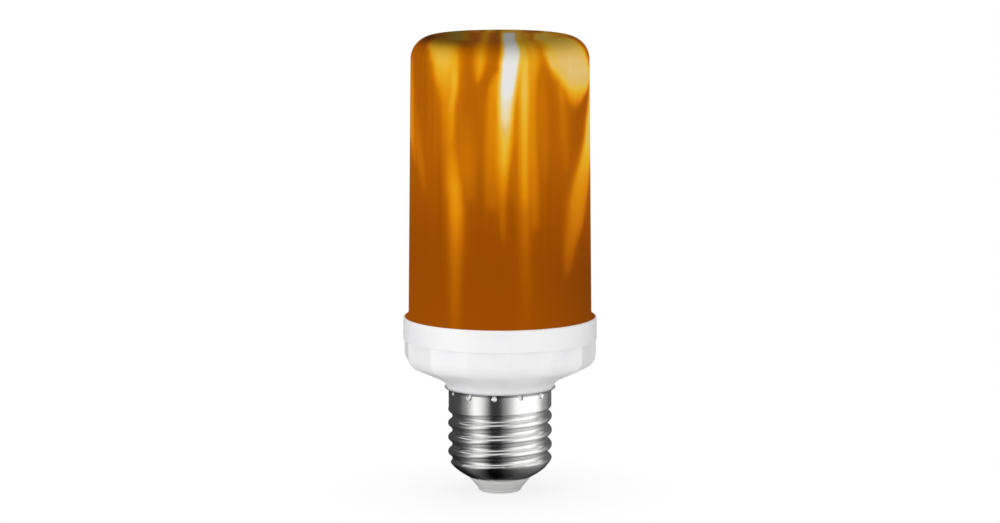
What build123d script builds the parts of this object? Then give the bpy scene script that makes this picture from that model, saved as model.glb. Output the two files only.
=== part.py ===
from build123d import *
import os
from math import atan2, ceil, cos, pi, radians, sin, sqrt, tan

# Flame effect LED bulb on a standard 27 mm screw cap, in millimetres.
# The axis is Z, the end face of the centre contact lies on z = 0 and the flame end points up.
# The front of the bulb looks along -Y.

os.makedirs("parts", exist_ok=True)

# Screw cap
thread_pitch = 3.629
thread_crest_radius = 13.12
thread_depth = 1.07
thread_land = 0.04
thread_root_sink = 0.03
thread_run_in_turns = 0.75
shell_wall = 0.3
shell_mouth_radius = 7.7
shell_mouth_height = 3.9
shell_cone_slope = 40.0
lowest_crest_height = 8.563
band_proud = 0.05
band_height = 4.5
flare_radius = 13.6
flare_height = 0.65
shell_top_height = 26.85
crimp_count = 12
crimp_first_angle = -96.7
crimp_width = 1.5
crimp_depth = 0.4
crimp_below_top = 1.05

# Insulator and centre contact
contact_radius = 3.3
contact_head_height = 0.9
contact_proud = 0.3
contact_edge = 0.3
contact_shank_radius = 0.9
contact_shank_above_floor = 0.6
insulator_end_radius = 5.5
insulator_end_round = 0.8
insulator_lip_radius = 7.5
insulator_lip_height = 0.4
insulator_floor_top = 4.6
insulator_wall = 1.3
insulator_top_height = 7.4
insulator_rim_height = 1.1

# Housing body
facet_count = 14
facet_corner_inset = 0.05
facet_first_corner_angle = -84.0
bowl_wall_base_rise = 8.85
bowl_edge_round = 3.9
bowl_slope = 25.0
facet_wall_height = 3.6
housing_wall = 1.6
neck_base_radius = 13.5
neck_lean = 18.0
neck_overlap = 0.4
plug_bottom_height = 14.0
plug_bore_radius = 10.2
rib_width = 1.0
rib_reach = 1.0
rib_height = 12.0

# Collar between the housing body and the cover
collar_radius = 24.35
collar_height = 5.6
collar_edge_round = 0.35
collar_wall = 2.1
collar_ledge_drop = 3.3
collar_ledge_reach = 5.75
collar_ledge_thickness = 2.0
collar_spigot_depth = 2.0
collar_spigot_wall = 1.4

# Diffusing cover
cover_wall = 1.2
cover_foot_inset = 0.4
cover_foot_flare = 0.95
cover_foot_height = 1.5
cover_foot_hollow = 0.45
cover_draft = 0.65
cover_shoulder_width = 6.2
cover_shoulder_height = 5.85
cover_crown = 0.25
cover_top_height = 115.95
cover_spigot_depth = 3.15
cover_spigot_wall = 1.0

# Lamp core, sleeve and light emitting diodes
base_board_gap = 1.25
base_board_thickness = 1.6
core_to_cover_gap = 7.1
core_wall = 1.3
core_headroom = 12.75
core_tab_count = 3
core_tab_width = 4.0
core_tab_length = 2.4
sleeve_thickness = 0.25
sleeve_gap_angle = 2.5
led_width = 2.8
led_length = 3.5
led_height = 0.7
led_columns = 12
led_rows = 8
led_row_margin = 4.8
led_ring_count = 6
led_ring_inset = 5.7
top_board_thickness = 1.0

# Screws that hold the base board on the collar
screw_count = 3
screw_first_angle = 30.0
screw_shank_radius = 0.95
screw_head_radius = 1.8
screw_head_height = 1.2
screw_length = 3.2
screw_cross_width = 0.5
screw_cross_length = 2.0
screw_cross_depth = 0.6

# Driver board and what is soldered to it
driver_width = 19.2
driver_thickness = 1.2
driver_bottom_height = 10.5
driver_headroom = 5.6
bulk_capacitor_size = (4.0, 12.0)
bulk_capacitor_place = (-2.0, 22.5)
film_capacitor_size = (9.0, 5.0, 7.0)
film_capacitor_place = (0.8, 16.0)
fuse_resistor_size = (1.3, 7.0)
fuse_resistor_place = (-6.9, 12.6)
inductor_size = (3.5, 6.0)
inductor_place = (0.0, 29.5)
rectifier_size = (4.7, 2.5, 3.9)
rectifier_place = (0.0, 15.5)
control_chip_size = (4.9, 1.5, 3.9)
control_chip_place = (0.0, 22.0)
flame_chip_size = (8.6, 3.9, 1.5)
flame_chip_place = (0.0, 4.0)

# Insulated leads
lead_radius = 0.5
lead_bend = 1.2
lead_side = 6.0
lead_joint_height = 14.0
contact_lead_rise = 2.4
contact_lead_climb = 1.4
shell_lead_height = 9.6
supply_lead_start_drop = 5.0
supply_lead_offset = 6.0
supply_lead_first_drop = 5.1
supply_lead_second_drop = 3.1

# Clearances
slip = 0.05
push_fit = 0.08

# Heights and radii that follow from the sizes above
thread_root_radius = thread_crest_radius - thread_depth
band_radius = thread_crest_radius + band_proud
band_bottom_height = shell_top_height - flare_height - band_height
bowl_wall_base_height = shell_top_height + bowl_wall_base_rise
seam_height = bowl_wall_base_height + facet_wall_height
collar_top_height = seam_height + collar_height
collar_ledge_height = collar_top_height - collar_ledge_drop
facet_radius = (collar_radius - facet_corner_inset) * cos(pi / facet_count)
collar_bore_radius = collar_radius - collar_wall
collar_ledge_radius = collar_bore_radius - collar_ledge_reach
cover_foot_radius = collar_radius - cover_foot_inset
cover_low_radius = cover_foot_radius - cover_foot_flare
cover_high_radius = cover_low_radius - cover_draft
base_board_top = collar_ledge_height + base_board_thickness
base_board_radius = collar_bore_radius - base_board_gap
screw_circle_radius = (collar_ledge_radius + base_board_radius) / 2
core_radius = cover_low_radius - cover_wall - core_to_cover_gap
core_top = cover_top_height - core_headroom
core_height = core_top - base_board_top
led_row_pitch = (core_height - 2 * led_row_margin) / (led_rows - 1)
led_ring_radius = core_radius - led_ring_inset
driver_top_height = collar_ledge_height - driver_headroom
supply_lead_start_height = driver_top_height - supply_lead_start_drop
supply_lead_first_bend = collar_ledge_height - supply_lead_first_drop
supply_lead_second_bend = collar_ledge_height - supply_lead_second_drop
plug_radius = band_radius - shell_wall - push_fit


def turned(*outline):
    """Turn a closed outline of (radius, height) edges about the Z axis."""
    return revolve(Plane.XZ * make_face(outline), Axis.Z)


def turned_corners(*corners):
    """Turn a closed polygon of (radius, height) corners about the Z axis."""
    return turned(Polyline(*corners, close=True))


def upright_box(size, centre, bottom):
    """Box of (x, y, z) size, centred in X and Y on a point and standing on a height."""
    block = Box(*size, align=(Align.CENTER, Align.CENTER, Align.MIN))
    return Pos(centre[0], centre[1], bottom) * block


def upright_cylinder(radius, bottom, top):
    """Cylinder on the axis between two heights."""
    rod = Cylinder(radius, top - bottom, align=(Align.CENTER, Align.CENTER, Align.MIN))
    return Pos(0, 0, bottom) * rod


def around(count, first_angle, radius, piece, height=0.0):
    """Copies of a piece spaced evenly round the axis, each turned to face outward."""
    step = 360 / count
    return [Rot(0, 0, first_angle + step * k) * Pos(radius, 0, height) * piece for k in range(count)]


def save(name, shape):
    """Write one node."""
    export_step(shape, f"parts/{name}.step")


# Screw shell

def thread_ridge(inset):
    """Helical ridge of the rolled thread, whose skin lies inset below the outer one.

    The section is a round crest that passes into two hollow roots of the same radius.
    The three arcs meet tangentially at half the depth.
    """
    root = thread_root_radius - thread_root_sink
    depth = thread_crest_radius - root
    half = (thread_pitch - thread_land) / 2
    bend = (depth**2 + half**2) / (4 * depth)
    crest_bend = bend - inset
    root_bend = bend + inset
    crest_centre = thread_crest_radius - bend
    root_centre = root + bend
    lean = atan2(half, root_centre - crest_centre)
    join = (crest_centre + crest_bend * cos(lean), crest_bend * sin(lean))
    turn = pi + lean
    middle_turn = (turn + pi) / 2
    middle = (root_centre + root_bend * cos(middle_turn), half + root_bend * sin(middle_turn))
    foot = (root_centre - root_bend, half)
    base = (root - 2 * shell_wall, half)

    def below(point):
        return (point[0], -point[1])

    section = make_face([
        ThreePointArc(below(join), (crest_centre + crest_bend, 0), join),
        ThreePointArc(join, middle, foot),
        Polyline(foot, base, below(base), below(foot)),
        ThreePointArc(below(foot), below(middle), below(join)),
    ])
    start = lowest_crest_height - thread_run_in_turns * thread_pitch
    turns = ceil((band_bottom_height + thread_pitch / 2 - start) / thread_pitch)
    path = Helix(thread_pitch, turns * thread_pitch, thread_crest_radius)
    ridge = sweep(Plane.XZ * section, path=path, is_frenet=True)
    return Pos(0, 0, start) * Rot(0, 0, -360 * thread_run_in_turns) * ridge


def shell_form(inset):
    """Solid that fills the screw shell out to its outer skin, or to its inner one."""
    root = thread_root_radius - inset
    band = band_radius - inset
    flare = flare_radius - inset
    cone_slope = radians(shell_cone_slope)
    mouth = shell_mouth_radius - inset / sin(cone_slope)
    past = thread_crest_radius + 2
    stock = turned_corners(
        (0, shell_mouth_height - 1),
        (root, shell_mouth_height - 1),
        (root, band_bottom_height + root - band),
        (band, band_bottom_height),
        (band, shell_top_height - flare_height),
        (flare, shell_top_height),
        (0, shell_top_height),
    )
    cone = turned_corners(
        (mouth, shell_mouth_height),
        (past, shell_mouth_height + (past - mouth) * tan(cone_slope)),
        (past, shell_mouth_height - 2),
        (0, shell_mouth_height - 2),
        (0, shell_mouth_height),
    )
    return stock + thread_ridge(inset) - cone - crimp_balls(inset)


def crimp_balls(grow):
    """Balls that press the crimp dimples into the band, larger by grow on its inner side."""
    ball_radius = ((crimp_width / 2) ** 2 + crimp_depth**2) / (2 * crimp_depth)
    centre = band_radius - crimp_depth + ball_radius
    height = shell_top_height - crimp_below_top
    return around(crimp_count, crimp_first_angle, centre, Sphere(ball_radius + grow), height)


def screw_shell():
    """Rolled sheet shell with a cone end, a knuckle thread and a crimped band."""
    return shell_form(0) - shell_form(shell_wall)


# Insulator and centre contact

def cap_insulator():
    """Plastic plug that fills the mouth of the shell and carries the contact."""
    reach = insulator_top_height - insulator_rim_height
    cone_slope = radians(shell_cone_slope)
    mouth = shell_mouth_radius - shell_wall / sin(cone_slope) - slip
    wide = mouth + (reach - shell_mouth_height) / tan(cone_slope)
    lip_top = shell_mouth_height - slip
    round_centre = insulator_end_radius - insulator_end_round
    round_top = contact_proud + insulator_end_round
    body = turned(
        Polyline((0, contact_proud), (round_centre, contact_proud)),
        RadiusArc((round_centre, contact_proud), (insulator_end_radius, round_top), -insulator_end_round),
        Polyline(
            (insulator_end_radius, round_top),
            (insulator_lip_radius, lip_top - insulator_lip_height),
            (insulator_lip_radius, lip_top),
            (mouth, lip_top),
            (mouth, shell_mouth_height),
            (wide, reach),
            (wide, insulator_top_height),
            (wide - insulator_wall, insulator_top_height),
            (wide - insulator_wall, reach),
            (mouth - insulator_wall, insulator_floor_top),
            (0, insulator_floor_top),
            (0, contact_proud),
        ),
    )
    seat = upright_cylinder(contact_radius + slip, contact_proud, contact_head_height)
    bore = upright_cylinder(contact_shank_radius + slip, contact_proud, insulator_floor_top)
    return body - seat - bore


def centre_contact():
    """Contact pin with a broad flat head."""
    top = insulator_floor_top + contact_shank_above_floor
    return turned(
        Polyline((0, 0), (contact_radius - contact_edge, 0)),
        RadiusArc((contact_radius - contact_edge, 0), (contact_radius, contact_edge), -contact_edge),
        Polyline(
            (contact_radius, contact_edge),
            (contact_radius, contact_head_height),
            (contact_shank_radius, contact_head_height),
            (contact_shank_radius, top),
            (0, top),
            (0, 0),
        ),
    )


# Housing body

def bowl_outline(radius, inset, bottom):
    """Edges (radius, height) of the bowl from a bottom height up to the seam.

    They are a straight slope, a round edge and an upright wall, set in by inset.
    """
    slope = radians(bowl_slope)
    bend = bowl_edge_round - inset
    centre = radius - bowl_edge_round
    low = (centre + bend * sin(slope), bowl_wall_base_height - bend * cos(slope))
    high = (centre + bend, bowl_wall_base_height)
    start = (low[0] - (low[1] - bottom) / tan(slope), bottom)
    middle = (centre + bend * cos(slope), bowl_wall_base_height - bend * sin(slope))
    slope_and_round = [Line(start, low), ThreePointArc(low, middle, high)]
    return slope_and_round, start, high


def facet_pair():
    """Solid between two opposite facets, which the others are cut against."""
    edges, start, high = bowl_outline(facet_radius, 0, neck_join_height() - neck_overlap)
    right = edges + [Line(high, (facet_radius, seam_height))]
    outline = right + [mirror(edge, Plane.YZ) for edge in right]
    outline += [Line((-start[0], start[1]), start)]
    outline += [Line((facet_radius, seam_height), (-facet_radius, seam_height))]
    return extrude(Plane.XZ * make_face(outline), amount=2 * facet_radius, both=True)


def neck_join_height():
    """Height at which the round neck runs into the facets of the bowl."""
    slope = radians(bowl_slope)
    reach = facet_radius - bowl_edge_round + bowl_edge_round * sin(slope)
    low = bowl_wall_base_height - bowl_edge_round * cos(slope)
    lean = tan(radians(neck_lean))
    rise = (low - shell_top_height - (reach - neck_base_radius) * tan(slope)) / (1 - lean * tan(slope))
    return shell_top_height + rise


def faceted_bowl():
    """Bowl with flat facets all round, which meet at upright edges."""
    pair = facet_pair()
    bowl = pair
    half_step = 180 / facet_count
    for k in range(1, facet_count // 2):
        bowl = bowl & (Rot(0, 0, 2 * half_step * k) * pair)
    return Rot(0, 0, facet_first_corner_angle + half_step) * bowl


def round_neck():
    """Neck above the shell and the plug that goes down inside it."""
    top = neck_join_height() + 2 * neck_overlap
    top_radius = neck_base_radius + (top - shell_top_height) * tan(radians(neck_lean))
    thin_radius = thread_root_radius - shell_wall - push_fit
    widen = plug_radius - thin_radius
    return turned_corners(
        (0, plug_bottom_height),
        (thin_radius, plug_bottom_height),
        (thin_radius, band_bottom_height - widen + push_fit),
        (plug_radius, band_bottom_height + push_fit),
        (plug_radius, shell_top_height),
        (neck_base_radius, shell_top_height),
        (top_radius, top),
        (0, top),
    )


def housing_hollow():
    """Space inside the housing body, open at both ends."""
    slope = radians(bowl_slope)
    edges, start, high = bowl_outline(facet_radius, housing_wall, neck_join_height())
    bore_top = start[1] + (plug_bore_radius - start[0]) * tan(slope)
    bore_corner = (plug_bore_radius, bore_top)
    slope_end = edges[0] @ 1
    return turned(
        Polyline(
            (0, plug_bottom_height - 1),
            (plug_bore_radius, plug_bottom_height - 1),
            bore_corner,
            (slope_end.X, slope_end.Y),
        ),
        edges[1],
        Polyline(
            high,
            (high[0], seam_height + 1),
            (0, seam_height + 1),
            (0, plug_bottom_height - 1),
        ),
    )


def board_ribs():
    """Four ribs in the plug that guide the edges of the driver board."""
    inner = driver_width / 2 - rib_reach
    outer = plug_bore_radius + housing_wall / 3
    size = (outer - inner, rib_width, rib_height)
    across = driver_thickness / 2 + slip + rib_width / 2
    places = [(x, y) for x in (-1, 1) for y in (-1, 1)]
    return [
        upright_box(size, (x * (inner + outer) / 2, y * across), plug_bottom_height)
        for x, y in places
    ]


def housing_body():
    """Moulded housing: a faceted bowl, a round neck and a plug for the shell."""
    shell = faceted_bowl() + round_neck() - housing_hollow()
    return shell - crimp_balls(shell_wall + push_fit) + board_ribs()


# Collar

def housing_collar():
    """Ring that joins the housing body to the cover and carries the base board."""
    spigot_radius = facet_radius - housing_wall - push_fit
    spigot_bore = spigot_radius - collar_spigot_wall
    ledge_bottom = collar_ledge_height - collar_ledge_thickness
    edge = collar_edge_round
    rim = (collar_radius - edge, collar_top_height)
    ring = turned(
        Polyline(
            (spigot_bore, seam_height - collar_spigot_depth),
            (spigot_radius, seam_height - collar_spigot_depth),
            (spigot_radius, seam_height),
            (collar_radius, seam_height),
            (collar_radius, collar_top_height - edge),
        ),
        RadiusArc((collar_radius, collar_top_height - edge), rim, -edge),
        Polyline(
            rim,
            (collar_bore_radius, collar_top_height),
            (collar_bore_radius, collar_ledge_height),
            (collar_ledge_radius, collar_ledge_height),
            (collar_ledge_radius, ledge_bottom),
            (spigot_bore, ledge_bottom),
            (spigot_bore, seam_height - collar_spigot_depth),
        ),
    )
    return ring - screw_holes(screw_shank_radius)


# Cover

def cover_outline(inset):
    """Edges of the upper part of the cover, from its low wall to the top of its crown."""
    shoulder_base = cover_top_height - cover_crown - cover_shoulder_height
    wide = cover_shoulder_width - inset
    tall = cover_shoulder_height - inset
    centre = cover_high_radius - cover_shoulder_width
    rim = (centre, shoulder_base + tall)
    low = (cover_low_radius - inset, collar_top_height + cover_foot_height)
    shoulder = EllipticalCenterArc((centre, shoulder_base), wide, tall, start_angle=0, arc_size=90)
    top = (0, cover_top_height - inset)
    crown = TangentArc(top, rim, tangent=(1, 0))
    return [Line(low, (centre + wide, shoulder_base)), shoulder, crown], low, top


def diffuser_cover():
    """Frosted cover: a drafted tube with a round shoulder, a flat crown and a foot."""
    outer, outer_low, outer_top = cover_outline(0)
    inner, inner_low, inner_top = cover_outline(cover_wall)
    foot = (cover_foot_radius, collar_top_height)
    foot_middle = (
        (2 * cover_low_radius + cover_foot_radius) / 3,
        collar_top_height + cover_foot_height * cover_foot_hollow,
    )
    spigot_radius = collar_bore_radius - push_fit
    spigot_bore = spigot_radius - cover_spigot_wall
    bottom = collar_top_height - cover_spigot_depth
    return turned(
        *outer,
        *inner,
        Line(outer_top, inner_top),
        ThreePointArc(foot, foot_middle, outer_low),
        Polyline(
            foot,
            (spigot_radius, collar_top_height),
            (spigot_radius, bottom),
            (spigot_bore, bottom),
            (spigot_bore, collar_top_height + cover_foot_height / 3),
            inner_low,
        ),
    )


# Core, boards and light emitting diodes

def screw_holes(radius):
    """Rods that cut the holes of the screws."""
    rod = Cylinder(radius, 4 * screw_length)
    return around(screw_count, screw_first_angle, screw_circle_radius, rod, base_board_top)


def core_tabs(grow):
    """Tabs on the foot of the core, larger by grow where they cut their slots."""
    size = (core_wall + 2 * grow, core_tab_width + 2 * grow, core_tab_length + grow)
    tab = Box(*size, align=(Align.CENTER, Align.CENTER, Align.MAX))
    return around(core_tab_count, 0, core_radius - 0.75 * core_wall, tab, base_board_top + grow)


def base_board():
    """Round board that carries the core and the chip that plays the flame."""
    disc = upright_cylinder(base_board_radius, collar_ledge_height, base_board_top)
    return disc - screw_holes(screw_shank_radius + slip) - core_tabs(slip)


def board_screws():
    """Pan head screws with a cross recess."""
    neck = base_board_top
    head = upright_cylinder(screw_head_radius, neck, neck + screw_head_height)
    top_edge = head.edges().filter_by(GeomType.CIRCLE).sort_by(Axis.Z)[-1]
    head = fillet(top_edge, screw_head_height / 2)
    shank = upright_cylinder(screw_shank_radius - slip, neck - screw_length, neck)
    slot_bottom = neck + screw_head_height - screw_cross_depth
    slot = upright_box((screw_cross_length, screw_cross_width, 1), (0, 0), slot_bottom)
    screw = head + shank - slot - Rot(0, 0, 90) * slot
    return Compound(children=around(screw_count, screw_first_angle, screw_circle_radius, screw))


def lamp_core():
    """Moulded tube that the light emitting sleeve is wrapped round."""
    tube = upright_cylinder(core_radius, base_board_top, core_top)
    bore = upright_cylinder(core_radius - core_wall, base_board_top - 1, core_top + 1)
    ring = upright_cylinder(core_radius, base_board_top - core_tab_length, core_top) - bore
    return (tube - bore) + [tab & ring for tab in core_tabs(0)]


def led_sleeve():
    """Flexible board rolled into a tube, with a narrow gap at the back."""
    radius = core_radius + slip + sleeve_thickness
    tube = upright_cylinder(radius, base_board_top, core_top)
    bore = upright_cylinder(core_radius + slip, base_board_top - 1, core_top + 1)
    gap_width = 2 * radius * sin(radians(sleeve_gap_angle / 2))
    gap = upright_box((gap_width, 2 * core_wall, core_height + 2), (0, radius), base_board_top - 1)
    return tube - bore - gap


def side_leds():
    """Light emitting diodes in upright columns round the sleeve."""
    face = core_radius + slip + sleeve_thickness
    body = Box(led_height, led_width, led_length, align=(Align.MIN, Align.CENTER, Align.CENTER))
    first = base_board_top + led_row_margin
    half_step = 180 / led_columns
    rows = [first + led_row_pitch * k for k in range(led_rows)]
    leds = [led for height in rows for led in around(led_columns, half_step, face, body, height)]
    return Compound(children=leds)


def top_led_board():
    """Round board that closes the top of the core."""
    return upright_cylinder(core_radius, core_top, core_top + top_board_thickness)


def top_leds():
    """Light emitting diodes on the top board, one in the middle of a ring."""
    body = Box(led_length, led_width, led_height, align=(Align.CENTER, Align.CENTER, Align.MIN))
    height = core_top + top_board_thickness
    ring = around(led_ring_count, 0, led_ring_radius, body, height)
    return Compound(children=[Pos(0, 0, height) * body, *ring])


def flame_chip():
    """Small chip that plays the flame pattern."""
    return upright_box(flame_chip_size, flame_chip_place, base_board_top)


# Driver board and its components

def driver_board():
    """Upright board that stands between the ribs of the plug."""
    size = (driver_width, driver_thickness, driver_top_height - driver_bottom_height)
    return upright_box(size, (0, 0), driver_bottom_height)


def standing_can(size, place):
    """Round part that stands against the back face of the driver board."""
    radius, length = size
    x, bottom = place
    y = driver_thickness / 2 + slip / 2 + radius
    can = Pos(x, y, 0) * upright_cylinder(radius, bottom, bottom + length)
    ends = can.edges().filter_by(GeomType.CIRCLE)
    return fillet(ends, radius / 6)


def board_block(size, place, side):
    """Block with its foot on one face of the driver board: side is 1 at the back, -1 at the front."""
    x, height = place
    depth = driver_thickness / 2 + size[1] / 2
    return upright_box(size, (x, side * depth), height - size[2] / 2)


def power_inductor():
    """Drum coil whose axis stands square to the front of the board."""
    radius, length = inductor_size
    flange = length / 6
    waist = 0.8 * radius
    drum = turned_corners(
        (0, 0), (radius, 0), (radius, flange), (waist, flange),
        (waist, length - flange), (radius, length - flange), (radius, length), (0, length),
    )
    x, height = inductor_place
    return Pos(x, -driver_thickness / 2, height) * Rot(90, 0, 0) * drum


# Leads

def lead(*route):
    """Insulated lead along straight runs joined by round bends."""
    bends = [lead_bend] * (len(route) - 2)
    path = FilletPolyline(*route, radius=bends)
    section = Plane(origin=path @ 0, z_dir=path % 0) * Circle(lead_radius)
    return sweep(section, path=path)


def contact_lead():
    """Lead from the centre contact to the front of the driver board."""
    start = insulator_floor_top + contact_shank_above_floor
    front = -(driver_thickness / 2 + lead_radius + slip / 2)
    return lead(
        (0, 0, start),
        (0, 0, start + contact_lead_rise),
        (-lead_side, front, start + contact_lead_rise + contact_lead_climb),
        (-lead_side, front, lead_joint_height),
    )


def shell_lead():
    """Lead from the inner wall of the screw shell to the front of the driver board."""
    front = -(driver_thickness / 2 + lead_radius + slip / 2)
    wall = thread_root_radius - shell_wall - slip
    reach = sqrt(wall**2 - (lead_radius - front) ** 2)
    return lead(
        (reach, front, shell_lead_height),
        (lead_side, front, shell_lead_height),
        (lead_side, front, lead_joint_height),
    )


def supply_lead(side):
    """Lead from the driver board up to the underside of the base board."""
    back = driver_thickness / 2 + lead_radius + slip / 2
    return lead(
        (side * lead_side, back, supply_lead_start_height),
        (side * lead_side, back, supply_lead_first_bend),
        (side * lead_side, supply_lead_offset, supply_lead_second_bend),
        (side * lead_side, supply_lead_offset, collar_ledge_height),
    )


save("screw_shell", screw_shell())
save("cap_insulator", cap_insulator())
save("centre_contact", centre_contact())
save("housing_body", housing_body())
save("housing_collar", housing_collar())
save("diffuser_cover", diffuser_cover())
save("base_board", base_board())
save("board_screws", board_screws())
save("lamp_core", lamp_core())
save("led_sleeve", led_sleeve())
save("side_leds", side_leds())
save("top_led_board", top_led_board())
save("top_leds", top_leds())
save("flame_chip", flame_chip())
save("driver_board", driver_board())
save("bulk_capacitor", standing_can(bulk_capacitor_size, bulk_capacitor_place))
save("fuse_resistor", standing_can(fuse_resistor_size, fuse_resistor_place))
save("film_capacitor", board_block(film_capacitor_size, film_capacitor_place, 1))
save("bridge_rectifier", board_block(rectifier_size, rectifier_place, -1))
save("control_chip", board_block(control_chip_size, control_chip_place, -1))
save("power_inductor", power_inductor())
save("contact_lead", contact_lead())
save("shell_lead", shell_lead())
save("supply_lead_right", supply_lead(1))
save("supply_lead_left", supply_lead(-1))
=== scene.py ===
# %% [markdown]
# # A flame effect lamp
#
# The lamp has three parts that catch the eye: a frosted cover that glows like a fire, a white
# housing with fourteen flat facets, and a screw cap of bright nickel. The solids come from a
# CAD model, which is loaded here as a frame. This lesson remakes the cover, the housing and the
# rolled shell as smooth surfaces, and gives everything a finish.

# %% The frame
import math

import bmesh
import bpy
import numpy as np
from mathutils import Matrix


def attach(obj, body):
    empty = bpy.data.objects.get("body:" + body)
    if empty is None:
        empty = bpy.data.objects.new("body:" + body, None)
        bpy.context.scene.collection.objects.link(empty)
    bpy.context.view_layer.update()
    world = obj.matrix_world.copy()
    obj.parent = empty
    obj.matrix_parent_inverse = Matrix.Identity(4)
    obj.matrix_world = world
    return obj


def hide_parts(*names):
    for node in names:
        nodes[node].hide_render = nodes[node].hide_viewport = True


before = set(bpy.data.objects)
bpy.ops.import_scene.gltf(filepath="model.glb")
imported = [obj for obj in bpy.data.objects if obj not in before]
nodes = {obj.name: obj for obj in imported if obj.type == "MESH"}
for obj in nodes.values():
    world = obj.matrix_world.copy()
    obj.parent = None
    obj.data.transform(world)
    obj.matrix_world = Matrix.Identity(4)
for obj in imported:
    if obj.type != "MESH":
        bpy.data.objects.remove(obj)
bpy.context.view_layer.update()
mm = 0.001

# %% [markdown]
# ## Colour and nodes
#
# Colours are written as sRGB hex, the way a paint chart gives them. A shader works with linear
# light, so one function turns the one into the other. A second one adds a shader node, sets it
# and links it, so that each material below reads as a short list of what it is made of.

# %% Helpers for colours and nodes
def linear(hex_colour):
    """sRGB hex to linear RGBA: a power of 2.4 above a short straight part near black."""
    srgb = np.array([int(hex_colour[i:i + 2], 16) for i in (1, 3, 5)]) / 255
    rgb = np.where(srgb <= 0.04045, srgb / 12.92, ((srgb + 0.055) / 1.055) ** 2.4)
    return (*rgb.tolist(), 1.0)


def add_node(tree, kind, inputs=None, **settings):
    """Adds a node, sets its own settings, and gives each named input a value or a link."""
    made = tree.nodes.new(kind)
    for name, value in settings.items():
        setattr(made, name, value)
    for name, value in (inputs or {}).items():
        if isinstance(value, bpy.types.NodeSocket):
            tree.links.new(value, made.inputs[name])
        else:
            made.inputs[name].default_value = value
    return made


def new_tree(name):
    """An empty material and its node tree."""
    material = bpy.data.materials.new(name)
    material.use_nodes = True
    material.node_tree.nodes.clear()
    print("material:", name)
    return material, material.node_tree


def set_ramp(ramp, stops):
    """Fills a colour ramp from (position, hex) stops."""
    elements = ramp.color_ramp.elements
    while len(elements) < len(stops):
        elements.new(0.5)
    for element, (position, hex_colour) in zip(elements, stops):
        element.position = position
        element.color = linear(hex_colour)


# %% [markdown]
# ## Camera
#
# The photograph was taken from about a metre away with a long lens, so the sides of the tube
# stay almost parallel, and from a little above, so the flat top shows as a thin ellipse.
# The lens follows from how many pixels one metre covers at the lamp.

# %% Camera
image_width = 1000
sensor_width = 36.0
camera_distance = 1066 * mm
camera_elevation = math.radians(8.1)
aim_height = 58.7 * mm
pixels_per_metre = 3979

camera = bpy.data.objects.new("camera", bpy.data.cameras.new("camera"))
camera.data.sensor_width = sensor_width
camera.data.lens = sensor_width * pixels_per_metre * camera_distance / image_width
camera.location = (
    0,
    -camera_distance * math.cos(camera_elevation),
    aim_height + camera_distance * math.sin(camera_elevation),
)
camera.rotation_euler = (math.pi / 2 - camera_elevation, 0, 0)
bpy.context.scene.collection.objects.link(camera)
bpy.context.scene.camera = camera
bpy.context.scene.view_settings.view_transform = "Standard"
print("lens:", round(camera.data.lens, 1), "mm")

# %% [markdown]
# ## Surfaces from numbers
#
# Nearly everything on this lamp was turned, rolled or moulded round one axis. Such a skin is a
# grid: rows follow the profile, columns go round the axis. One function makes the faces of any
# such grid. Rows that go up on the outside and down on the inside make all faces point outwards.

# %% A grid round the axis
# Where two faces bend by more than this, their edge stays sharp
sharp_angle = math.radians(40)


def grid_faces(lower, upper):
    """Four-sided faces between rows of point numbers, closed round the axis."""
    return np.stack([lower, np.roll(lower, -1, 1), np.roll(upper, -1, 1), upper], -1).reshape(-1, 4)


def round_mesh(name, radius, height, angle, poles):
    """Mesh of a grid: a point is (radius cos angle, radius sin angle, height).

    radius has rows and columns, height has rows. With poles the first and last row are single
    points on the axis, otherwise the last row joins the first and the skin is a closed ring.
    """
    rows, columns = radius.shape
    x, y = radius * np.cos(angle), radius * np.sin(angle)
    points = np.stack([x, y, np.broadcast_to(height[:, None], x.shape)], -1).reshape(-1, 3)
    index = np.arange(rows * columns).reshape(rows, columns)
    if poles:
        faces = grid_faces(index[:-1], index[1:]).tolist()
        first, last = np.full(columns, len(points)), np.full(columns, len(points) + 1)
        faces += np.stack([first, np.roll(index[0], -1), index[0]], -1).tolist()
        faces += np.stack([last, index[-1], np.roll(index[-1], -1)], -1).tolist()
        points = np.concatenate([points, [[0, 0, height[0]], [0, 0, height[-1]]]])
    else:
        faces = grid_faces(index, np.roll(index, -1, 0)).tolist()
    mesh = bpy.data.meshes.new(name)
    mesh.from_pydata(points.tolist(), [], faces)
    mesh.shade_smooth()
    mesh.set_sharp_from_angle(angle=sharp_angle)
    print(name, "faces:", len(mesh.polygons))
    return mesh


def line(start, stop, count):
    """Points of a straight run from start up to, but without, stop."""
    t = np.arange(count)[:, None] / count
    return np.array(start) * (1 - t) + np.array(stop) * t


def arc(centre, radii, start, stop, count):
    """Points of an ellipse's arc between two angles in degrees, without the last one."""
    turn = np.radians(start + (stop - start) * np.arange(count) / count)
    return np.stack([centre[0] + radii[0] * np.cos(turn), centre[1] + radii[1] * np.sin(turn)], -1)


def add_piece(name, mesh, material, slot, *replaced):
    """Adds a mesh as a piece that rides on the lamp and stands for CAD nodes; slot is not used."""
    piece = bpy.data.objects.new(name, mesh)
    bpy.context.scene.collection.objects.link(piece)
    mesh.materials.append(material)
    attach(piece, "root")
    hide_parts(*replaced)


# %% [markdown]
# ## The cover's shape
#
# The cover is blow moulded polycarbonate: a tube with a slight draft, a round shoulder and an
# almost flat crown. At its foot it flares out to meet the collar, and a thin spigot goes down
# inside. The profile is written once for the outside and once for the inside.

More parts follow.
